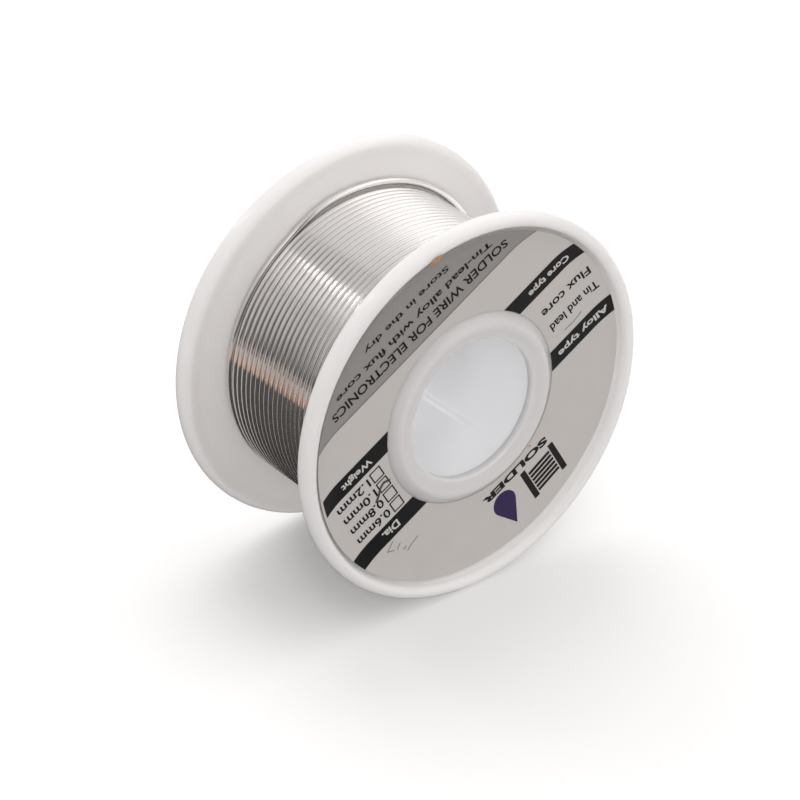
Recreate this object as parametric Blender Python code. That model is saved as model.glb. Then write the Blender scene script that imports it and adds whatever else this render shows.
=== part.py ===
"""Solder wire spool: two turned flanges on a double-walled core, a ring label and
layers of 1.0 mm solder wire wound between the flanges.

Metres, +Z up. The bore runs along Y, the labelled flange faces -Y, and the origin is
on the bore's axis halfway between the flanges.
"""

import math

import bmesh
import bpy
from mathutils import Matrix, Vector

MM = 0.001
SEGMENTS = 48  # sides of every turned piece; one of its flats faces straight down

# Flanges. A depth is a distance from the spool's middle plane along the bore axis.
FLANGE_RADIUS = 28.2 * MM
SPOOL_DEPTH = 15.0 * MM  # half of the width over both rims
INNER_FACE_DEPTH = 12.1 * MM
RECESS_DEPTH = 13.6 * MM
RECESS_RADIUS = 25.45 * MM  # where the floor of the label recess meets the rim bead
RIM_HALF_WIDTH = 1.05 * MM  # the rim bead is an ellipse in section, deeper than it is wide
RIM_HALF_DEPTH = 1.5 * MM
RIM_STEP = 30  # degrees between the corners of the rim bead
BEAD_FOOT_RADIUS = 25.2 * MM  # where the inner face begins to rise to the rim bead

# Collar round the bore.
BORE_RADIUS = 10.3 * MM
BORE_EDGE_DEPTH = 14.4 * MM
COLLAR_FOOT_RADIUS = 14.4 * MM
COLLAR_CREST_RADIUS = 12.4 * MM
COLLAR_CREST_DEPTH = 14.7 * MM

# Core: a bore tube inside a winding barrel, held together by ribs.
BARREL_RADIUS = 16.1 * MM
WALL = 1.5 * MM
TUBE_STEP = 0.1 * MM  # the bore tube is this much wider than the flange's bore
TUBE_DEPTH = 13.1 * MM
RIBS = 6
RIB_WIDTH = 1.4 * MM
RIB_DEPTH = 9.2 * MM
BUTT_GAP = 0.1 * MM
SPIGOT_DEPTH = 9.6 * MM  # the flange's spigot reaches down to this depth
SPIGOT_GAP = 0.25 * MM

# Label.
LABEL_INNER_RADIUS = 14.5 * MM
LABEL_OUTER_RADIUS = 25.3 * MM
LABEL_THICKNESS = 0.12 * MM
LABEL_GAP = 0.03 * MM

# Winding.
WIRE_DIAMETER = 1.0 * MM
LAYERS = 6
LAYER_PITCH = 0.9 * MM
FIRST_LAYER_RADIUS = BARREL_RADIUS + WIRE_DIAMETER / 2 + 0.04 * MM
LAYER_DEPTH = 12.0 * MM
LAYER_HALF_THICKNESS = 0.42 * MM
TOP_RADIUS = FIRST_LAYER_RADIUS + (LAYERS - 1) * LAYER_PITCH + WIRE_DIAMETER
CORNER_Y = 11.5 * MM  # the top turn lies against the rear flange

# Wire ends. Angles are in degrees about the bore, from +X towards +Z.
TOP_TURN_START = 100.0
TOP_TURN_END = -5.0
FREE_END_GAP = 1.0
FREE_END_ANGLE = -34.0
FREE_END_LIFT = 3.4 * MM
FREE_END_STEPS = 9
POINT_SPACING = 2.5 * WIRE_DIAMETER
START_NOTCH = 1.8 * MM
START_BEND_RADIUS = 13.2 * MM
START_TAIL = 4.0 * MM
FLUX_RADIUS = 0.18 * MM
FLUX_GAP = 0.02 * MM
PIPE_SIDES = 10


def clear_scene():
    for obj in list(bpy.data.objects):
        bpy.data.objects.remove(obj)


def material(name, colour, roughness, metallic=0.0):
    made = bpy.data.materials.new(name)
    made.use_nodes = True
    shader = made.node_tree.nodes["Principled BSDF"]
    shader.inputs["Base Color"].default_value = (*colour, 1.0)
    shader.inputs["Roughness"].default_value = roughness
    shader.inputs["Metallic"].default_value = metallic
    return made


def add_object(name, data, surface):
    obj = bpy.data.objects.new(name, data)
    bpy.context.scene.collection.objects.link(obj)
    if surface:
        data.materials.append(surface)
    return obj


def mesh_object(name, shape, surface):
    """A named object from a bmesh, which is freed, shaded smooth except at its corners."""
    bmesh.ops.recalc_face_normals(shape, faces=shape.faces)
    mesh = bpy.data.meshes.new(name)
    shape.to_mesh(mesh)
    shape.free()
    mesh.shade_smooth()
    mesh.set_sharp_from_angle(angle=math.radians(35))
    return add_object(name, mesh, surface)


def guide(obj):
    obj.hide_render = True
    obj.display_type = "WIRE"
    return obj


def turned(name, outline, surface, side=1):
    """A closed outline of (radius, depth) turned about the Y axis; side is -1 for the front."""
    shape = bmesh.new()
    half_step = math.pi / SEGMENTS
    points = [
        shape.verts.new((r * math.cos(half_step), side * depth, r * math.sin(half_step)))
        for r, depth in outline
    ]
    edges = [shape.edges.new((a, b)) for a, b in zip(points, points[1:] + points[:1])]
    bmesh.ops.spin(
        shape, geom=points + edges, cent=(0, 0, 0), axis=(0, 1, 0),
        angle=math.tau, steps=SEGMENTS, use_merge=True,
    )
    return mesh_object(name, shape, surface)


def ring(name, inner, outer, low, high, surface):
    """A turned ring of rectangular section between two depths, negative ones in front."""
    return turned(name, [(inner, low), (outer, low), (outer, high), (inner, high)], surface)


def box(name, size, matrix):
    shape = bmesh.new()
    bmesh.ops.create_cube(shape, size=1.0)
    bmesh.ops.transform(shape, matrix=matrix @ Matrix.Diagonal((*size, 1)), verts=shape.verts)
    return guide(mesh_object(name, shape, None))


def boolean(target, other, operation):
    modifier = target.modifiers.new(other.name, "BOOLEAN")
    modifier.operation = operation
    modifier.object = other


def collar_outline():
    """The outer side of the collar, from the bore's edge over its crest to the label recess."""
    crest = COLLAR_CREST_RADIUS
    run = COLLAR_FOOT_RADIUS - crest
    drop = COLLAR_CREST_DEPTH - RECESS_DEPTH
    slope = [
        (crest + run * step / 4, RECESS_DEPTH + drop * (1 + math.cos(math.pi * step / 4)) / 2)
        for step in range(5)
    ]
    lip = (crest + BORE_RADIUS) / 2
    lip_depth = COLLAR_CREST_DEPTH - 0.25 * (COLLAR_CREST_DEPTH - BORE_EDGE_DEPTH)
    return [(BORE_RADIUS, BORE_EDGE_DEPTH), (lip, lip_depth)] + slope


def rim_outline():
    """The rim bead, from the label recess over its flat crest and round to the inner face."""
    reach = math.cos(math.radians(RIM_STEP / 2))  # the flats touch the ellipse, not the corners
    middle, depth = FLANGE_RADIUS - RIM_HALF_WIDTH, SPOOL_DEPTH - RIM_HALF_DEPTH
    bead = [
        (
            middle + RIM_HALF_WIDTH / reach * math.cos(math.radians(angle)),
            depth + RIM_HALF_DEPTH / reach * math.sin(math.radians(angle)),
        )
        for angle in range(135, -90, -RIM_STEP)
    ]
    return [(RECESS_RADIUS, RECESS_DEPTH)] + bead


def flange(name, side, surface):
    """A flange with a beaded rim, a label recess, a collar and a spigot that enters the core."""
    barrel_bore = BARREL_RADIUS - WALL
    spigot_inner = BORE_RADIUS + TUBE_STEP + WALL + SPIGOT_GAP
    spigot_outer = barrel_bore - SPIGOT_GAP
    seat_depth = TUBE_DEPTH + BUTT_GAP
    inner_side = [
        (BEAD_FOOT_RADIUS, INNER_FACE_DEPTH),
        (spigot_outer, INNER_FACE_DEPTH),
        (spigot_outer, SPIGOT_DEPTH),
        (spigot_inner, SPIGOT_DEPTH),
        (spigot_inner, seat_depth),
        (BORE_RADIUS, seat_depth),
    ]
    return turned(name, collar_outline() + rim_outline() + inner_side, surface, side)


def start_notch():
    """The cutter for the notch that lets the wire's first end into the core."""
    low, high = SPIGOT_DEPTH - 0.2 * MM, INNER_FACE_DEPTH - 0.02 * MM
    inner, outer = START_BEND_RADIUS - 1.2 * MM, BARREL_RADIUS + WALL
    centre = Vector(((inner + outer) / 2, (low + high) / 2, 0))
    size = (outer - inner, high - low, START_NOTCH)
    return box("start_notch_cutter", size, Matrix.Translation(centre))


def core(surface, notch):
    """The bore tube, joined by ribs to the winding barrel, with the notch for the wire."""
    tube_inner = BORE_RADIUS + TUBE_STEP
    barrel_depth = INNER_FACE_DEPTH - BUTT_GAP
    body = ring("core", tube_inner, tube_inner + WALL, -TUBE_DEPTH, TUBE_DEPTH, surface)
    barrel = guide(
        ring("barrel_shape", BARREL_RADIUS - WALL, BARREL_RADIUS, -barrel_depth, barrel_depth, None)
    )
    boolean(body, barrel, "UNION")
    inner, outer = tube_inner + WALL / 2, BARREL_RADIUS - WALL / 2
    size = (outer - inner, 2 * RIB_DEPTH, RIB_WIDTH)
    for index in range(RIBS):
        turn = Matrix.Rotation(math.tau * (index + 0.5) / RIBS, 4, "Y")
        place = turn @ Matrix.Translation(((inner + outer) / 2, 0, 0))
        boolean(body, box(f"rib_shape_{index + 1}", size, place), "UNION")
    boolean(body, notch, "DIFFERENCE")
    return body


def label(surface):
    low = RECESS_DEPTH + LABEL_GAP
    outline = [
        (LABEL_INNER_RADIUS, low),
        (LABEL_OUTER_RADIUS, low),
        (LABEL_OUTER_RADIUS, low + LABEL_THICKNESS),
        (LABEL_INNER_RADIUS, low + LABEL_THICKNESS),
    ]
    return turned("front_label", outline, surface, side=-1)


def wire_layers(surface):
    for index in range(LAYERS):
        middle = FIRST_LAYER_RADIUS + index * LAYER_PITCH
        inner, outer = middle - LAYER_HALF_THICKNESS, middle + LAYER_HALF_THICKNESS
        ring(f"wire_layer_{index + 1}", inner, outer, -LAYER_DEPTH, LAYER_DEPTH, surface)


def round_point(radius, degrees, y):
    angle = math.radians(degrees)
    return Vector((radius * math.cos(angle), y, radius * math.sin(angle)))


def wire_tube(name, points, surface):
    """A stretch of wire: a curve with a round bevel and closed ends."""
    curve = bpy.data.curves.new(name, "CURVE")
    curve.dimensions = "3D"
    curve.bevel_depth = WIRE_DIAMETER / 2
    curve.bevel_resolution = 2
    curve.use_fill_caps = True
    spline = curve.splines.new("POLY")
    spline.points.add(len(points) - 1)
    for target, point in zip(spline.points, points):
        target.co = (*point, 1)
    return add_object(name, curve, surface)


def top_turn(surface):
    """The wire that has climbed over the last layer, in the corner at the rear flange."""
    sweep = math.radians(TOP_TURN_START - TOP_TURN_END)
    steps = math.ceil(TOP_RADIUS * sweep / POINT_SPACING)
    span = (TOP_TURN_END - TOP_TURN_START) / steps
    points = [round_point(TOP_RADIUS, TOP_TURN_START + span * i, CORNER_Y) for i in range(steps + 1)]
    return wire_tube("wire_top_turn", points, surface)


def start_tail(surface):
    """The wire's first end: through the notch in the barrel and bent along the core."""
    bend = 0.8 * MM
    outer = FIRST_LAYER_RADIUS - WIRE_DIAMETER
    corner = Vector((START_BEND_RADIUS + bend, CORNER_Y - bend, 0))
    points = [Vector((outer, CORNER_Y, 0))]
    for step in range(4):
        angle = math.radians(90 * (1 + step / 3))
        points.append(corner + Vector((bend * math.cos(angle), bend * math.sin(angle), 0)))
    points.append(Vector((START_BEND_RADIUS, CORNER_Y - START_TAIL, 0)))
    return wire_tube("wire_start_tail", points, surface)


def free_end_path():
    first = TOP_TURN_END - FREE_END_GAP
    shares = [i / FREE_END_STEPS for i in range(FREE_END_STEPS + 1)]
    return [
        round_point(TOP_RADIUS + FREE_END_LIFT * s**2, first + (FREE_END_ANGLE - first) * s, CORNER_Y)
        for s in shares
    ]


def rings_along(shape, path, radius):
    """Rings of points round a path that lies in a plane square to Y."""
    rings = []
    for index, point in enumerate(path):
        ahead, behind = path[min(index + 1, len(path) - 1)], path[max(index - 1, 0)]
        along = (ahead - behind).normalized()
        across = along.cross(Vector((0, 1, 0)))
        turns = [math.tau * side / PIPE_SIDES for side in range(PIPE_SIDES)]
        rings.append([
            shape.verts.new(point + radius * (math.cos(a) * across + math.sin(a) * Vector((0, 1, 0))))
            for a in turns
        ])
    return rings


def join_rings(shape, first, second):
    for side in range(PIPE_SIDES):
        following = (side + 1) % PIPE_SIDES
        shape.faces.new((first[side], first[following], second[following], second[side]))


def free_end(wire_surface, flux_surface):
    """The wire's free end, a tube whose bore holds the flux core."""
    path = free_end_path()
    shape = bmesh.new()
    outside = rings_along(shape, path, WIRE_DIAMETER / 2)
    inside = rings_along(shape, path, FLUX_RADIUS + FLUX_GAP)
    loop = outside + inside[::-1]
    for first, second in zip(loop, loop[1:] + loop[:1]):
        join_rings(shape, first, second)
    mesh_object("wire_free_end", shape, wire_surface)

    shape = bmesh.new()
    rings = rings_along(shape, path, FLUX_RADIUS)
    for first, second in zip(rings, rings[1:]):
        join_rings(shape, first, second)
    shape.faces.new(rings[0])
    shape.faces.new(rings[-1][::-1])
    mesh_object("flux_core", shape, flux_surface)


def build():
    clear_scene()
    flange_plastic = material("flange_plastic", (0.82, 0.80, 0.79), 0.28)
    core_plastic = material("core_plastic", (0.76, 0.77, 0.80), 0.30)
    label_paper = material("label_paper", (0.60, 0.57, 0.55), 0.45)
    solder = material("solder", (0.66, 0.65, 0.64), 0.25, metallic=1.0)
    flux = material("flux", (0.45, 0.22, 0.05), 0.35)

    notch = start_notch()
    flange("front_flange", -1, flange_plastic)
    boolean(flange("rear_flange", 1, flange_plastic), notch, "DIFFERENCE")
    core(core_plastic, notch)
    label(label_paper)
    wire_layers(solder)
    start_tail(solder)
    top_turn(solder)
    free_end(solder, flux)


build()
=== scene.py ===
"""The looks of a solder wire spool: moulded flanges and core, printed label and wound wire."""

import math

import bmesh
import bpy
from mathutils import Matrix, Vector, noise


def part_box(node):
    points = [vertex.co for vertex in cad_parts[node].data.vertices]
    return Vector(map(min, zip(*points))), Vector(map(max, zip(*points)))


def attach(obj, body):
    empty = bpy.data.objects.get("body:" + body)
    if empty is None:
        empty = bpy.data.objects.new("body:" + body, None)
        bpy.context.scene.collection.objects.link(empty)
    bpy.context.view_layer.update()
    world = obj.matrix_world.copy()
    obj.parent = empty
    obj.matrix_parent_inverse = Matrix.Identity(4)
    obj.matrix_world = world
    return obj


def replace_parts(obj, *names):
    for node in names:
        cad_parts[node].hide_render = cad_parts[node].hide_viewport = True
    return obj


MM = 0.001
CAD_SEGMENTS = 48  # the sides of the CAD's turned solids, whose flats face along the axes

# Wire, in millimetres and degrees, as in the CAD
WIRE_DIAMETER = 1.0
LAYERS = 6
TURNS_PER_LAYER = 23  # a further turn climbs to the next layer
LAYER_PITCH = 0.9
FIRST_LAYER_RADIUS = 16.64
CORNER_DEPTH = 11.55  # where the wire lies against a flange
CORNER_GAP = 0.22  # between the last turn of a layer and the one before
LAYER_CLIMB = 0.6  # the share of a turn in which the wire climbs to the next layer
LAYER_END_ANGLE = 126  # where the last layer ends and the top turn climbs off it
CLIMB_ANGLE = 28
TOP_RADIUS = 22.14
TOP_DEPTH = 11.5
TOP_SLACK = 0.25  # how far the last turn has lifted by the time it springs off
SLACK_ANGLES = (95, 60)  # where that lift starts, and how far round it grows
FREE_END_START = -5
FREE_END_ANGLE = -34
FREE_END_LIFT = 3.4
START_TAIL = 4.0  # inside the core, along the bore
START_RADIUS = 13.2
START_BEND = 1.6
RADIUS_WANDER = 0.012
DEPTH_WANDER = (0.022, 0.02)  # from turn to turn, and slowly across the layer
STEPS_PER_TURN = (28, 96)  # in the hidden layers, and in the outer one
FLUX_RADIUS = 0.18
FLUX_PROUD = 0.05

# Flanges and core
INNER_FACE_DEPTH = 12.1
RECESS_DEPTH = 13.6
RIM_HALF_WIDTH = 1.05  # the rim bead is an ellipse in section
RIM_HALF_DEPTH = 1.5
RIM_FILLET = 0.65
FILLET_REACH = 0.55  # from the fillet's centre to the bead
INNER_FOOT = 1.75  # from the bead's centre to where the inner face is flat
BORE_RADIUS = 10.3
BORE_ROUND = 0.3
COLLAR_CREST = (12.4, 14.7)  # radius and depth
COLLAR_LIP_DEPTH = 14.42
COLLAR_FOOT_RADIUS = 14.4
BARREL_RADIUS = 16.1
WALL = 1.5
TUBE_STEP = 0.1
TUBE_DEPTH = 13.1
BUTT_GAP = 0.1
SPIGOT_DEPTH = 9.6
SPIGOT_GAP = 0.25
PARTING_ANGLES = (-56, 124)  # the mould's parting lines in the bore
PARTING_HEIGHT = 0.05
PARTING_HALF_ANGLE = 0.75
RIBS = 6
RIB_SIZE = (1.4, 18.4)  # thickness and length
RIB_OVERLAP = 0.05
RIB_BEVEL = 0.15

# Label, in its own frame: u runs along its print and v up it
LABEL_TURN = 209.8  # the angle of u about the spool's axis
LABEL_CENTRE = (0.15, -0.5)  # it was stuck on a little low
LABEL_RADIUS = 25.7
LABEL_HOLE = 14.1
LABEL_DEPTH = 13.73
LABEL_THICKNESS = 0.1
EDGE_CURL = 0.95
EDGE_CURL_WIDTH = 3.5
EDGE_WAVE = 0.07
PRINT_LIFT = 0.02
SEGMENT_TOP = -15.6
BAR_HEIGHTS = ((3.9, 6.75), (-8.5, -5.75))
BOX_SIZE = 1.76
BOX_CENTRE = 15.88
ROW_TOP = 2.56
ROW_PITCH = 2.25

# Studio
CAMERA_VIEW = (-38.312, 31.723)  # azimuth and elevation
CAMERA_PLACE = (-0.88, -4.65, 601.8)  # to the right, up and back, in millimetres
CAMERA_LENS = 200.58
SURROUNDINGS = (
    (-180, 0.7), (-120, 0.55), (-60, 0.55), (-30, 0.85), (-1, 0.9), (0, 0.06), (3, 0.1), (8, 0.35),
    (18, 0.5), (30, 0.55), (42, 0.56), (52, 0.88), (64, 0.98), (68, 0.66), (80, 0.62), (90, 0.74),
    (100, 0.8), (112, 0.9), (125, 1.2), (146, 1.35), (160, 1.0), (180, 0.7),
)  # brightness at these degrees round Y from the left horizon, over the top when positive
STUDIO_TINT = (1, 0.98, 0.972)
FLOOR_HALF = 2.0
CARD_HALF = 1.95
CARD_REACH = 1.99


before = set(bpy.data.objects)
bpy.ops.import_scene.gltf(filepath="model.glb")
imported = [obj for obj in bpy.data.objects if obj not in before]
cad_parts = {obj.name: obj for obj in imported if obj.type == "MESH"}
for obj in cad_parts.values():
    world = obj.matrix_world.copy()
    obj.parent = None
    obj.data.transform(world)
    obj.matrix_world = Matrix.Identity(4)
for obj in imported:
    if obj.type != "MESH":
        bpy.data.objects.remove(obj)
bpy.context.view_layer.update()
FLANGE_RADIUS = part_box("front_flange")[1][0] / MM / math.cos(math.pi / CAD_SEGMENTS)
SPOOL_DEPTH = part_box("rear_flange")[1][1] / MM


def add_object(name, data, material, slot=None):
    """A new object in the scene; one with a slot is a piece and rides on the body."""
    obj = bpy.data.objects.new(name, data)
    bpy.context.scene.collection.objects.link(obj)
    if material:
        data.materials.append(material)
    if slot:
        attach(obj, "root")
    return obj


# ---------------------------------------------------------------- camera and light


def aim(azimuth, elevation):
    turn, rise = math.radians(azimuth), math.radians(elevation)
    return Vector(
        (math.sin(turn) * math.cos(rise), -math.cos(turn) * math.cos(rise), math.sin(rise))
    )


def add_camera():
    """A long lens from the front left, a little above."""
    back = aim(*CAMERA_VIEW)
    turn = math.radians(CAMERA_VIEW[0])
    right = Vector((math.cos(turn), math.sin(turn), 0))
    up = back.cross(right)
    data = bpy.data.cameras.new("camera")
    data.lens, data.sensor_width = CAMERA_LENS, 36
    data.clip_start, data.clip_end = 0.01, 50
    camera = bpy.data.objects.new("camera", data)
    bpy.context.scene.collection.objects.link(camera)
    place = (right * CAMERA_PLACE[0] + up * CAMERA_PLACE[1] + back * CAMERA_PLACE[2]) * MM
    camera.matrix_world = Matrix.Translation(place) @ Matrix((right, up, back)).transposed().to_4x4()
    bpy.context.scene.camera = camera
    bpy.context.scene.view_settings.view_transform = "Standard"


def add_light(name, azimuth, elevation, distance, size, power, mirrored=True, shift=0.0):
    """A soft box turned towards the spool from this many metres away, then moved along Y by the shift,
    unseen by the camera.
    """
    data = bpy.data.lights.new(name, "AREA")
    data.shape, data.size, data.size_y = "RECTANGLE", size[0], size[1]
    data.energy = power
    light = bpy.data.objects.new(name, data)
    bpy.context.scene.collection.objects.link(light)
    towards = aim(azimuth, elevation)
    light.location = towards * distance + Vector((0, shift, 0))
    light.rotation_euler = towards.to_track_quat("Z", "Y").to_euler()
    light.visible_camera, light.visible_glossy = False, mirrored


def add_surroundings():
    """A plain studio whose brightness changes round the spool's axis, and not along it."""
    world = bpy.data.worlds.new("studio")
    bpy.context.scene.world = world
    world.use_nodes = True
    nodes, links = world.node_tree.nodes, world.node_tree.links
    place, split = nodes.new("ShaderNodeTexCoord"), nodes.new("ShaderNodeSeparateXYZ")
    flip, angle = nodes.new("ShaderNodeMath"), nodes.new("ShaderNodeMath")
    flip.operation, flip.inputs[1].default_value = "MULTIPLY", -1
    angle.operation = "ARCTAN2"
    share, shade = nodes.new("ShaderNodeMapRange"), nodes.new("ShaderNodeValToRGB")
    share.inputs["From Min"].default_value, share.inputs["From Max"].default_value = -math.pi, math.pi
    ramp = shade.color_ramp
    while len(ramp.elements) < len(SURROUNDINGS):
        ramp.elements.new(0.5)
    for element, (height, level) in zip(ramp.elements, SURROUNDINGS):
        element.position = (height + 180) / 360
        element.color = (*(level * tint for tint in STUDIO_TINT), 1)
    links.new(place.outputs["Generated"], split.inputs["Vector"])
    links.new(split.outputs["X"], flip.inputs[0])
    links.new(split.outputs["Z"], angle.inputs[0])
    links.new(flip.outputs[0], angle.inputs[1])
    links.new(angle.outputs[0], share.inputs["Value"])
    links.new(share.outputs["Result"], shade.inputs["Fac"])
    links.new(shade.outputs["Color"], nodes["Background"].inputs["Color"])


def add_floor():
    """A plain pale matt floor under the rims. It throws no light up: the studio is bright below it."""
    data = bpy.data.meshes.new("floor")
    half, depth = FLOOR_HALF, -FLANGE_RADIUS * MM
    data.from_pydata(
        [(-half, -half, depth), (half, -half, depth), (half, half, depth), (-half, half, depth)],
        [], [(0, 1, 2, 3)],
    )
    matt = mottled("pale_floor", (0.94,) * 3, (0.96,) * 3, 0.02, (0.7, 0.8), Specular_IOR_Level=0.0)
    floor = add_object("floor", data, matt)
    floor.visible_diffuse = False


def add_card(name, corners, colour):
    """A flat card, which only shows where something mirrors it."""
    data = bpy.data.meshes.new(name)
    data.from_pydata(corners, [], [(0, 1, 2, 3)])
    light = tuple(level * 1.2 for level in colour)
    card = add_object(name, data, mottled(name, colour, light, 0.05, (0.8, 0.9)))
    card.visible_camera = card.visible_diffuse = card.visible_transmission = card.visible_shadow = False


def add_cards():
    """What the wire mirrors at the left: cards side by side on the floor, and a dark screen in front."""
    floor, half, reach = -(FLANGE_RADIUS - 0.1) * MM, CARD_HALF, CARD_REACH
    for name, near, far, colour in (
        ("black_card", 0.002, 0.135, (0.045, 0.042, 0.04)),
        ("brown_card", 0.135, 0.185, (0.58, 0.37, 0.28)),
        ("grey_card", 0.185, 0.5, (0.34, 0.32, 0.305)),
        ("dark_card", 0.5, reach, (0.07, 0.066, 0.063)),
    ):
        corners = [(-far, -half, floor), (-near, -half, floor), (-near, half, floor), (-far, half, floor)]
        add_card(name, corners, colour)
    front, top = -0.5, 0.55
    corners = [(-reach, front, floor), (0, front, floor), (0, front, top), (-reach, front, top)]
    add_card("dark_screen", corners, (0.1, 0.095, 0.09))


def add_lights():
    """Soft light from the front left and from behind, and two strips whose streak the wire mirrors."""
    add_light("window", -48, 27, 1.0, (0.35, 0.5), 0.4)
    add_light("key", -46, 24, 1.0, (0.5, 0.5), 2.2, mirrored=False)
    add_light("back", 178, 25, 0.9, (0.9, 0.6), 1.3, mirrored=False)
    add_light("high_back", 160, 60, 1.0, (0.6, 0.6), 2.0, mirrored=False)
    for name, elevation in (("strip", 62.8), ("other_strip", 65.6)):
        add_light(name, -90, elevation, 0.9, (1.7, 0.014), 0.85, shift=1.5)


# ---------------------------------------------------------------- materials


def mottled(name, dark, light, scale, rough, bump=0.0, bump_scale=1.0, stretch=(1, 1, 1), **fixed):
    """A material whose colour and roughness drift between two values, with a fine relief.

    The scales are in cycles per millimetre. The values in fixed go straight on the shader.
    """
    material = bpy.data.materials.new(name)
    material.use_nodes = True
    nodes, links = material.node_tree.nodes, material.node_tree.links
    shader = nodes["Principled BSDF"]
    place, mapping = nodes.new("ShaderNodeTexCoord"), nodes.new("ShaderNodeMapping")
    mapping.inputs["Scale"].default_value = Vector(stretch) / MM
    links.new(place.outputs["Object"], mapping.inputs["Vector"])
    drift = add_noise(nodes, links, mapping, scale, 4)
    tint = nodes.new("ShaderNodeMix")
    tint.data_type = "RGBA"
    tint.inputs["A"].default_value, tint.inputs["B"].default_value = (*dark, 1), (*light, 1)
    links.new(drift.outputs["Fac"], tint.inputs["Factor"])
    links.new(tint.outputs["Result"], shader.inputs["Base Color"])
    gloss = nodes.new("ShaderNodeMapRange")
    gloss.inputs["From Min"].default_value, gloss.inputs["From Max"].default_value = 0.3, 0.7
    gloss.inputs["To Min"].default_value, gloss.inputs["To Max"].default_value = rough
    links.new(drift.outputs["Fac"], gloss.inputs["Value"])
    links.new(gloss.outputs["Result"], shader.inputs["Roughness"])
    if bump:
        relief, grain = nodes.new("ShaderNodeBump"), add_noise(nodes, links, mapping, bump_scale, 3)
        relief.inputs["Strength"].default_value = 0.6
        relief.inputs["Distance"].default_value = bump * MM
        links.new(grain.outputs["Fac"], relief.inputs["Height"])
        links.new(relief.outputs["Normal"], shader.inputs["Normal"])
    for socket, value in fixed.items():
        shader.inputs[socket.replace("_", " ")].default_value = value
    return material


def brushed_around(material):
    """The same material with its grain running about the Y axis, so that it spreads light along Y."""
    nodes, links = material.node_tree.nodes, material.node_tree.links
    grain = nodes.new("ShaderNodeTangent")
    grain.direction_type, grain.axis = "RADIAL", "Y"
    links.new(grain.outputs["Tangent"], nodes["Principled BSDF"].inputs["Tangent"])
    nodes["Principled BSDF"].inputs["Anisotropic Rotation"].default_value = 0.25
    return material


def add_noise(nodes, links, mapping, scale, detail):
    texture = nodes.new("ShaderNodeTexNoise")
    texture.inputs["Scale"].default_value = scale
    texture.inputs["Detail"].default_value = detail
    links.new(mapping.outputs["Vector"], texture.inputs["Vector"])
    return texture


def make_materials():
    """Every material of the spool, by name."""
    translucent = {
        "Subsurface_Weight": 0.8, "Subsurface_Radius": (1.0, 0.95, 0.9), "Subsurface_Scale": 3 * MM,
        "IOR": 1.5,
    }
    return {
        "flange": mottled("white_plastic", (0.78, 0.765, 0.757), (0.82, 0.805, 0.797), 0.12, (0.14, 0.2),
                          0.002, 0.8, **translucent),
        # painted shade: a darker copy of the flange plastic, for the front flange's collar only
        "collar": mottled("shaded_collar_plastic", (0.65, 0.635, 0.63), (0.69, 0.675, 0.67), 0.12, (0.14, 0.2),
                          0.002, 0.8, **translucent),
        "core": mottled("core_plastic", (0.90, 0.902, 0.915), (0.93, 0.932, 0.945), 0.15, (0.12, 0.18),
                        0.002, 0.8, **(translucent | {"Subsurface_Weight": 0.3})),
        "paper": mottled("label_paper", (0.50, 0.475, 0.455), (0.55, 0.525, 0.505), 0.25, (0.42, 0.55),
                         0.006, 3.0, IOR=1.45),
        "ink": mottled("black_ink", (0.007, 0.007, 0.007), (0.011, 0.010, 0.010), 0.8, (0.45, 0.6),
                       0.003, 3.0, Specular_IOR_Level=0.12),
        "grey_ink": mottled("grey_ink", (0.20, 0.19, 0.18), (0.33, 0.31, 0.295), 4.0, (0.42, 0.55),
                            0.006, 3.0, Specular_IOR_Level=0.3),
        "edge_ink": mottled("edge_ink", (0.12, 0.115, 0.11), (0.16, 0.15, 0.145), 0.6, (0.45, 0.55),
                            Specular_IOR_Level=0.3),
        "pale_ink": mottled("pale_ink", (0.50, 0.48, 0.46), (0.58, 0.56, 0.54), 0.8, (0.45, 0.55)),
        "purple_ink": mottled("purple_ink", (0.020, 0.010, 0.055), (0.034, 0.018, 0.08), 0.5, (0.35, 0.5),
                              Specular_IOR_Level=0.15),
        "pen": mottled("pen_ink", (0.012, 0.012, 0.02), (0.05, 0.05, 0.06), 1.5, (0.3, 0.5)),
        "solder": brushed_around(mottled("tin_lead", (0.79, 0.77, 0.755), (0.86, 0.845, 0.83), 0.35,
                                         (0.11, 0.16), 0.002, 1.2, Metallic=1.0, Anisotropic=1.0)),
        "flux": mottled("rosin_flux", (0.32, 0.15, 0.03), (0.5, 0.27, 0.07), 4.0, (0.15, 0.25),
                        0.01, 6.0, Transmission_Weight=0.3, IOR=1.53),
        "residue": mottled("dried_flux", (0.30, 0.15, 0.05), (0.55, 0.35, 0.17), 1.6, (0.25, 0.6),
                           0.03, 3.0),
    }


# ---------------------------------------------------------------- wire


def layer_point(turns):
    """(radius, depth) in the layers, this many turns after the wire leaves the notch."""
    turns -= 1 - LAYER_END_ANGLE / 360
    if turns < 0:
        return FIRST_LAYER_RADIUS, CORNER_DEPTH
    layer = min(int(turns / (TURNS_PER_LAYER + 1)), LAYERS - 1)
    done = turns - layer * (TURNS_PER_LAYER + 1)
    away = -1 if layer % 2 else 1
    width = 2 * CORNER_DEPTH
    apart = (width - CORNER_GAP) / TURNS_PER_LAYER
    last = max(min(done, TURNS_PER_LAYER) - TURNS_PER_LAYER + 1, 0)
    depth = away * (CORNER_DEPTH - apart * min(done, TURNS_PER_LAYER) - CORNER_GAP * last)
    climb = min(max(done - TURNS_PER_LAYER, 0) / LAYER_CLIMB, 1)
    return FIRST_LAYER_RADIUS + LAYER_PITCH * (layer + math.sin(math.pi / 2 * climb)), depth


def smooth(value):
    """From 0 to 1, level at both ends."""
    value = min(max(value, 0), 1)
    return value * value * (3 - 2 * value)


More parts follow.
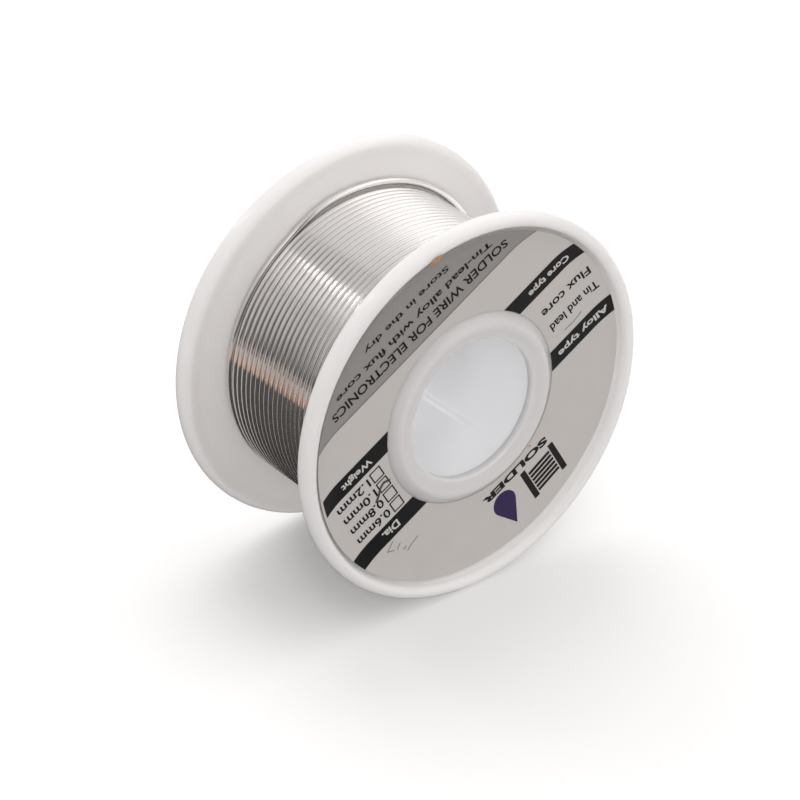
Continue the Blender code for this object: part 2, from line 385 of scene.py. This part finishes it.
def top_point(angle):
    """(radius, depth) of the last turn, which climbs on to the others and then springs off."""
    last_layer = FIRST_LAYER_RADIUS + LAYER_PITCH * (LAYERS - 1)
    climb = smooth((LAYER_END_ANGLE - angle) / CLIMB_ANGLE)
    slack = TOP_SLACK * smooth((SLACK_ANGLES[0] - angle) / SLACK_ANGLES[1])
    lift = max(FREE_END_START - angle, 0) / (FREE_END_START - FREE_END_ANGLE)
    radius = last_layer + (TOP_RADIUS - last_layer) * climb + slack + FREE_END_LIFT * lift**2
    return radius, CORNER_DEPTH + (TOP_DEPTH - CORNER_DEPTH) * climb


def wander(radius, depth, turns):
    """The same place with the small unevenness of a machine-wound layer."""
    seed = Vector((turns * 1.7, radius, 0.3))
    slow = Vector((turns * 0.31, 4.1, radius))
    quick_part = DEPTH_WANDER[0] * noise.noise(seed + Vector((0, 9.2, 5.0)))
    slow_part = DEPTH_WANDER[1] * noise.noise(slow)
    return radius + RADIUS_WANDER * noise.noise(seed), depth + quick_part + slow_part


def wire_path():
    """The whole wire in millimetres, from its start inside the core to its free end."""
    bend = START_BEND
    path = [Vector((START_RADIUS, CORNER_DEPTH - START_TAIL, 0))]
    to_radial = arc((START_RADIUS + bend, CORNER_DEPTH - bend), (bend,) * 2, 180, 90, 8)
    path += [Vector((radius, depth, 0)) for radius, depth in to_radial]
    to_layer = arc((FIRST_LAYER_RADIUS - bend, -bend), (bend,) * 2, 90, 0, 8)
    path += [Vector((radius, CORNER_DEPTH, height)) for radius, height in to_layer]
    full = LAYERS * (TURNS_PER_LAYER + 1) - LAYER_END_ANGLE / 360
    end = full + (LAYER_END_ANGLE - FREE_END_ANGLE) / 360
    last_layer_start = full - TURNS_PER_LAYER
    turns = math.asin(bend / FIRST_LAYER_RADIUS) / math.tau
    while turns < end:
        if turns < full:
            radius, depth = layer_point(turns)
        else:
            radius, depth = top_point(LAYER_END_ANGLE - 360 * (turns - full))
        if turns > 0.5:
            radius, depth = wander(radius, depth, turns)
        angle = -math.tau * turns
        path.append(Vector((radius * math.cos(angle), depth, radius * math.sin(angle))))
        turns += 1 / STEPS_PER_TURN[turns > last_layer_start - 0.5]
    return path


def add_wire(material):
    """The solder wire, one length from end to end."""
    path = wire_path()
    curve = bpy.data.curves.new("solder_wire", "CURVE")
    curve.dimensions = "3D"
    curve.bevel_depth = WIRE_DIAMETER / 2 * MM
    curve.bevel_resolution = 4
    curve.use_fill_caps = True
    spline = curve.splines.new("POLY")
    spline.points.add(len(path) - 1)
    for point, place in zip(spline.points, path):
        point.co = (*(place * MM), 1)
    wire = add_object("solder_wire", curve, material, "solder")
    layers = [f"wire_layer_{number}" for number in range(1, LAYERS + 1)]
    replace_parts(wire, "wire_start_tail", *layers, "wire_top_turn", "wire_free_end")
    return path


def add_flux(path, material):
    """The flux in the wire's core, which stands a little proud where the wire was cut."""
    end, along = path[-1], (path[-1] - path[-2]).normalized()
    dome = arc((0, 0), (FLUX_RADIUS, FLUX_PROUD), 0, 90, 6)[:-1]
    turn = along.to_track_quat("Y", "Z").to_matrix()
    outline = [(FLUX_RADIUS, -1.0)] + dome + [(0.0, FLUX_PROUD), (0.0, -1.0)]
    bead = lathe("flux_core_bead", outline, 24, material, "flux")
    bead.data.transform(Matrix.Translation(end * MM) @ turn.to_4x4())
    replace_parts(bead, "flux_core")


# ---------------------------------------------------------------- moulded parts


def arc(centre, radii, start, end, steps):
    """Points on an ellipse's arc, from the start angle to the end angle in degrees."""
    angles = [math.radians(start + (end - start) * step / steps) for step in range(steps + 1)]
    return [(centre[0] + radii[0] * math.cos(a), centre[1] + radii[1] * math.sin(a)) for a in angles]


def ease(start, end, steps):
    """Points that leave one place level and reach the other level, without either end."""
    along, rise = end[0] - start[0], end[1] - start[1]
    shares = [step / steps for step in range(1, steps)]
    return [
        (start[0] + along * share, start[1] + rise * (1 - math.cos(math.pi * share)) / 2)
        for share in shares
    ]


def lathe(name, outline, segments, material, slot, side=1):
    """A closed outline of (radius, depth) in millimetres turned about the Y axis."""
    mesh = bmesh.new()
    turns = [math.tau * (step + 0.5) / segments for step in range(segments)]
    rows = [
        [mesh.verts.new((r * MM * math.cos(a), side * t * MM, r * MM * math.sin(a))) for r, t in outline]
        for a in turns
    ]
    for row, after in zip(rows, rows[1:] + rows[:1]):
        for index in range(len(outline)):
            follow = (index + 1) % len(outline)
            mesh.faces.new((row[index], row[follow], after[follow], after[index]))
    bmesh.ops.remove_doubles(mesh, verts=mesh.verts, dist=1e-7)
    return mesh_piece(name, mesh, material, slot)


def mesh_piece(name, mesh, material, slot, crease=38):
    """A piece from a bmesh, smooth but for its corners."""
    bmesh.ops.recalc_face_normals(mesh, faces=mesh.faces)
    data = bpy.data.meshes.new(name)
    mesh.to_mesh(data)
    mesh.free()
    data.shade_smooth()
    data.set_sharp_from_angle(angle=math.radians(crease))
    return add_object(name, data, material, slot)


def flange_outline():
    """From the bore over the collar, recess and rim bead to the inner face and the spigot."""
    lip = (BORE_RADIUS + BORE_ROUND, COLLAR_LIP_DEPTH)
    foot = (COLLAR_FOOT_RADIUS, RECESS_DEPTH)
    bead = (FLANGE_RADIUS - RIM_HALF_WIDTH, SPOOL_DEPTH - RIM_HALF_DEPTH)
    fillet = (bead[0] - RIM_HALF_WIDTH - FILLET_REACH, RECESS_DEPTH + RIM_FILLET)
    inner_foot = (bead[0] - INNER_FOOT, INNER_FACE_DEPTH)
    outer = arc((lip[0], lip[1] - BORE_ROUND), (BORE_ROUND,) * 2, 180, 100, 5)
    outer += ease(lip, COLLAR_CREST, 6) + [COLLAR_CREST] + ease(COLLAR_CREST, foot, 10) + [foot]
    outer += arc(fillet, (RIM_FILLET,) * 2, -90, -20, 7)
    outer += arc(bead, (RIM_HALF_WIDTH, RIM_HALF_DEPTH), 160, -90, 34)
    outer += ease((bead[0], bead[1] - RIM_HALF_DEPTH), inner_foot, 6) + [inner_foot]
    spigot_outer = BARREL_RADIUS - WALL - SPIGOT_GAP
    spigot_inner = BORE_RADIUS + TUBE_STEP + WALL + SPIGOT_GAP
    seat = TUBE_DEPTH + BUTT_GAP
    return outer + [
        (BARREL_RADIUS, INNER_FACE_DEPTH), (spigot_outer, INNER_FACE_DEPTH),
        (spigot_outer, SPIGOT_DEPTH), (spigot_inner, SPIGOT_DEPTH), (spigot_inner, seat),
        (BORE_RADIUS, seat),
    ]


def add_flanges(material, shaded_collar_material):
    """Both flanges; the front one's collar gets a darker copy of the plastic, painted shade that makes it
    look duller.
    """
    for name, side in (("front_flange", -1), ("rear_flange", 1)):
        piece = lathe(name + "_moulding", flange_outline(), 240, material, "flange_plastic", side)
        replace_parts(piece, name)
        # the front collar's outer faces take the darker copy of the plastic, which is painted shade
        piece.data.materials.append(shaded_collar_material)
        for face in piece.data.polygons:
            outside = -face.center.y > RECESS_DEPTH * MM
            if outside and math.hypot(face.center.x, face.center.z) < COLLAR_FOOT_RADIUS * MM:
                face.material_index = 1


def wall_outline(inner, depth):
    """The section of a tube of the common wall thickness."""
    return [(inner, -depth), (inner + WALL, -depth), (inner + WALL, depth), (inner, depth)]


def add_core(material):
    """The bore tube, its ribs and the winding barrel, which the flanges' spigots enter."""
    inner = BORE_RADIUS + TUBE_STEP
    tube = wall_outline(inner, TUBE_DEPTH)
    barrel = wall_outline(BARREL_RADIUS - WALL, INNER_FACE_DEPTH - BUTT_GAP)
    bore = lathe("bore_tube", tube, 240, material, "core_plastic")
    for vertex in bore.data.vertices:
        radius = math.hypot(vertex.co.x, vertex.co.z)
        angle = math.degrees(math.atan2(vertex.co.z, vertex.co.x))
        apart = min(abs(angle - line) for line in PARTING_ANGLES)
        if radius < (inner + WALL / 2) * MM and apart < PARTING_HALF_ANGLE:
            vertex.co.xz *= 1 - PARTING_HEIGHT * MM / radius
    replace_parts(bore, "core")
    lathe("winding_barrel", barrel, 120, material, "core_plastic")
    add_ribs(inner + WALL - RIB_OVERLAP, BARREL_RADIUS - WALL + RIB_OVERLAP, material)


def add_ribs(low, high, material):
    """The ribs between the bore tube and the barrel, from one radius to the other."""
    mesh = bmesh.new()
    for index in range(RIBS):
        size = Matrix.Diagonal(((high - low) * MM, RIB_SIZE[1] * MM, RIB_SIZE[0] * MM, 1))
        place = Matrix.Translation(((low + high) / 2 * MM, 0, 0))
        turn = Matrix.Rotation(math.tau * (index + 0.5) / RIBS, 4, "Y")
        bmesh.ops.create_cube(mesh, size=1, matrix=turn @ place @ size)
    bmesh.ops.bevel(mesh, geom=mesh.edges[:], offset=RIB_BEVEL * MM, segments=2, affect="EDGES")
    mesh_piece("core_ribs", mesh, material, "core_plastic")


# ---------------------------------------------------------------- label and its print


def label_height(u, v):
    """How far the label stands off its recess: it curls where it rides up its neighbours."""
    x, y = u - LABEL_CENTRE[0], v - LABEL_CENTRE[1]
    radius, angle = math.hypot(x, y), math.atan2(y, x)
    low_side = (1 - math.sin(angle)) / 2
    edge = max(0, (radius - LABEL_RADIUS + EDGE_CURL_WIDTH) / EDGE_CURL_WIDTH)
    wave = EDGE_WAVE * math.sin(9 * angle + 0.6) * (1 - low_side) ** 2 * edge
    curl = EDGE_CURL * low_side**0.9 * edge**2
    return curl + max(wave, -0.05)


def label_place(u, v, lift=0.0):
    """The point of the label's face, or above it, in metres."""
    turn = math.radians(LABEL_TURN)
    x = u * math.cos(turn) - v * math.sin(turn)
    z = u * math.sin(turn) + v * math.cos(turn)
    return Vector((x, -(LABEL_DEPTH + label_height(u, v) + lift), z)) * MM


def add_label(material):
    """The ring of paper, which follows its own curl."""
    mesh = bmesh.new()
    segments, rings = 240, 22
    shares = [(1 - math.cos(math.pi * ring / rings)) / 2 for ring in range(rings + 1)]
    hole = arc((0, 0), (LABEL_HOLE,) * 2, 0, 360, segments)[:-1]
    rim = arc(LABEL_CENTRE, (LABEL_RADIUS,) * 2, 0, 360, segments)[:-1]
    spokes = [(Vector(near), Vector(far)) for near, far in zip(hole, rim)]
    sides = []
    for lift in (0, -LABEL_THICKNESS):
        sides.append([
            [mesh.verts.new(label_place(*near.lerp(far, share), lift)) for near, far in spokes]
            for share in shares
        ])
    face, back = sides
    for row, after in list(zip(face, face[1:])) + list(zip(back, back[1:])) + [
        (face[0], back[0]), (face[-1], back[-1])
    ]:
        for index in range(segments):
            follow = (index + 1) % segments
            mesh.faces.new((row[index], row[follow], after[follow], after[index]))
    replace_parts(mesh_piece("front_label_paper", mesh, material, "label_paper"), "front_label")


def edge_width(v, inset=0.0):
    """Half of the label's width at this height."""
    return math.sqrt(max(0, (LABEL_RADIUS - inset) ** 2 - (v - LABEL_CENTRE[1]) ** 2))


def patch(mesh, low, high, left, right, steps=(24, 8)):
    """Adds a printed area from low to high whose sides are left(v) and right(v)."""
    rows = []
    for row in range(steps[1] + 1):
        v = low + (high - low) * row / steps[1]
        spread = [left(v) + (right(v) - left(v)) * step / steps[0] for step in range(steps[0] + 1)]
        rows.append([mesh.verts.new((u, v, 0)) for u in spread])
    for row, after in zip(rows, rows[1:]):
        for index in range(steps[0]):
            mesh.faces.new((row[index], row[index + 1], after[index + 1], after[index]))


def ribbon(mesh, points, width, closed=False):
    """Adds a drawn line of this width, with mitred corners."""
    line = [Vector(point) for point in points]
    count = len(line)
    sides = []
    for index, point in enumerate(line):
        before = line[index - 1] if closed or index else point
        after = line[(index + 1) % count] if closed or index < count - 1 else point
        ways = [way.normalized() for way in (point - before, after - point) if way.length]
        along = sum(ways, Vector((0, 0))).normalized()
        across = Vector((-along.y, along.x))
        mitre = width / 2 / max(0.4, abs(across.dot(Vector((-ways[0].y, ways[0].x)))))
        sides.append([mesh.verts.new((*(point + across * mitre * way), 0)) for way in (1, -1)])
    pairs = list(zip(sides, sides[1:] + sides[:1]))
    for (a, b), (c, d) in pairs if closed else pairs[:-1]:
        mesh.faces.new((a, b, d, c))


def printed(name, mesh, material, lift=PRINT_LIFT):
    """A piece of print, laid on the label from a flat drawing in millimetres."""
    for vertex in mesh.verts:
        vertex.co = label_place(vertex.co.x, vertex.co.y, lift)
    data = bpy.data.meshes.new(name)
    mesh.to_mesh(data)
    mesh.free()
    return add_object(name, data, material, "label_paper")


def write(mesh, text, centre, cap, width, weight=0.012):
    """Adds a line of print of this capital height and width about a centre."""
    curve = bpy.data.curves.new("type", "FONT")
    curve.body, curve.offset, curve.resolution_u = text, weight, 3
    stand_in = bpy.data.objects.new("type", curve)
    letters = bpy.data.meshes.new_from_object(stand_in)
    bpy.data.objects.remove(stand_in)
    bpy.data.curves.remove(curve)
    low = [min(vertex.co[axis] for vertex in letters.vertices) for axis in (0, 1)]
    high = [max(vertex.co[axis] for vertex in letters.vertices) for axis in (0, 1)]
    middle = Matrix.Translation((-(low[0] + high[0]) / 2, -(low[1] + high[1]) / 2, 0))
    size = Matrix.Diagonal((width / (high[0] - low[0]), cap / (high[1] - low[1]), 1, 1))
    letters.transform(Matrix.Translation((*centre, 0)) @ size @ middle)
    mesh.from_mesh(letters)
    bpy.data.meshes.remove(letters)


def bar(mesh, side, low, high, inset=0.0):
    """A dark bar from the label's hole to its edge."""
    def inner(v):
        return side * math.sqrt(LABEL_HOLE**2 - v**2)

    def outer(v):
        return LABEL_CENTRE[0] + side * edge_width(v, inset)

    patch(mesh, low, high, *((outer, inner) if side < 0 else (inner, outer)))


def add_bars(ink, pale):
    """Four dark bars with a word in each. One stops short of the label's edge."""
    mesh = bmesh.new()
    for heights in BAR_HEIGHTS:
        for side in (-1, 1):
            short = side == 1 and heights == BAR_HEIGHTS[1]
            bar(mesh, side, *heights, 0.4 if short else 0)
    printed("label_bars", mesh, ink)
    words = bmesh.new()
    write(words, "Alloy type", (-19.25, 5.3), 1.4, 9.5, 0.03)
    write(words, "Dia.", (18.6, 5.3), 1.4, 3.0, 0.03)
    write(words, "Core type", (-19.15, -7.15), 1.4, 7.5, 0.03)
    write(words, "Weight", (18.15, -7.15), 1.4, 5.5, 0.03)
    printed("bar_words", words, pale, 2 * PRINT_LIFT)


def add_segment(grey, edge, ink):
    """The tinted foot of the label with three centred lines of print."""
    def left(v):
        return LABEL_CENTRE[0] - edge_width(v, 0.02)

    def right(v):
        return LABEL_CENTRE[0] + edge_width(v, 0.02)

    tint, line = bmesh.new(), bmesh.new()
    patch(tint, SEGMENT_TOP, LABEL_CENTRE[1] - LABEL_RADIUS + 0.15, left, right, (60, 26))
    printed("foot_tint", tint, grey)
    patch(line, SEGMENT_TOP, SEGMENT_TOP + 0.16, left, right, (60, 1))
    printed("foot_edge", line, edge, 1.5 * PRINT_LIFT)
    words = bmesh.new()
    write(words, "SOLDER WIRE FOR ELECTRONICS", (0, -17.55), 1.5, 33.2, 0.02)
    write(words, "Tin-lead alloy with flux core", (0, -19.8), 1.5, 29.4, 0.02)
    write(words, "Store in the dry", (0, -22.2), 1.3, 15.8, 0.02)
    printed("foot_words", words, ink, 2 * PRINT_LIFT)


def add_rows(ink, pen):
    """The two rows at the left, and the sizes at the right with a box before each."""
    words, boxes = bmesh.new(), bmesh.new()
    write(words, "Tin and lead", (-20.0, 0.75), 1.5, 9.0, 0.02)
    write(words, "Flux core", (-20.0, -2.35), 1.5, 9.0, 0.02)
    half = BOX_SIZE / 2
    for index, size in enumerate(("0.6mm", "0.8mm", "1.0mm", "1.2mm")):
        middle = ROW_TOP - ROW_PITCH * index
        write(words, size, (20.3, middle), 1.5, 6.0, 0.02)
        corners = [(-half, -half), (half, -half), (half, half), (-half, half)]
        ribbon(boxes, [(BOX_CENTRE + x, middle + y) for x, y in corners], 0.2, closed=True)
    printed("row_words", words, ink)
    printed("size_boxes", boxes, ink)
    tick = bmesh.new()
    stroke = [(14.8, -1.6), (15.3, -1.95), (15.8, -2.15), (16.6, -1.8), (17.4, -1.0), (18.2, -0.45)]
    ribbon(tick, stroke, 0.38)
    printed("pen_tick", tick, pen, 2 * PRINT_LIFT)
    marks = bmesh.new()
    for stroke in (
        ((16.0, 10.1), (17.3, 10.25), (18.45, 10.65)), ((18.15, 9.75), (18.5, 9.95), (18.8, 9.8)),
        ((18.65, 8.5), (19.1, 8.75), (19.5, 9.1)), ((19.3, 7.2), (20.8, 8.0), (19.9, 8.7)),
        ((-20.5, 2.6), (-18.8, 2.9), (-17.0, 2.8)),
    ):
        ribbon(marks, stroke, 0.09)
    printed("pen_marks", marks, pen)


def add_pictogram(ink, purple):
    """A spool seen from the side and a drop of solder, with a plain word under them."""
    spool = bmesh.new()
    for side in (-1, 1):
        ribbon(spool, [(-3.8 + 2.75 * side, 16.6), (-3.8 + 2.75 * side, 22.3)], 0.95)
    for turn in range(6):
        height = 17.6 + 0.74 * turn
        ribbon(spool, [(-5.9, height), (-1.7, height + 0.25)], 0.5)
    printed("spool_pictogram", spool, ink)
    drop = bmesh.new()
    sides = arc((3.4, 18.3), (1.95, 1.95), -205, 25, 30)
    drop.faces.new([drop.verts.new((*point, 0)) for point in sides + [(3.4, 22.9)]])
    printed("drop_pictogram", drop, purple)
    word = bmesh.new()
    write(word, "SOLDER", (-0.3, 15.35), 1.3, 12.5, 0.05)
    printed("pictogram_word", word, ink)


def add_residue(material):
    """A spot of dried flux where the label meets the rim, and a speck beside the collar."""
    mesh = bmesh.new()
    spot = (-6.65, -25.45), (2.1, 1.5, 0.5), 0.0
    speck = (-4.0, 13.9), (0.35, 0.3, 0.08), 0.02
    for centre, size, lift in (spot, speck):
        blob = bmesh.new()
        bmesh.ops.create_icosphere(blob, subdivisions=4, radius=0.5)
        for vertex in blob.verts:
            ragged = 1 + 0.35 * noise.noise(vertex.co * 3.1 + Vector((*centre, 0)))
            u = centre[0] + vertex.co.x * size[0] * ragged
            v = centre[1] + vertex.co.y * size[1] * ragged
            vertex.co = label_place(u, v, lift + vertex.co.z * size[2])
        data = bpy.data.meshes.new("blob")
        blob.to_mesh(data)
        blob.free()
        mesh.from_mesh(data)
        bpy.data.meshes.remove(data)
    mesh_piece("residue_spot", mesh, material, "flux")


def main():
    surfaces = make_materials()
    add_camera()
    path = add_wire(surfaces["solder"])
    add_flux(path, surfaces["flux"])
    add_flanges(surfaces["flange"], surfaces["collar"])
    add_core(surfaces["core"])
    add_label(surfaces["paper"])
    add_bars(surfaces["ink"], surfaces["pale_ink"])
    add_segment(surfaces["grey_ink"], surfaces["edge_ink"], surfaces["ink"])
    add_rows(surfaces["ink"], surfaces["pen"])
    add_pictogram(surfaces["ink"], surfaces["purple_ink"])
    add_residue(surfaces["residue"])
    add_surroundings()
    add_floor()
    add_cards()
    add_lights()


main()
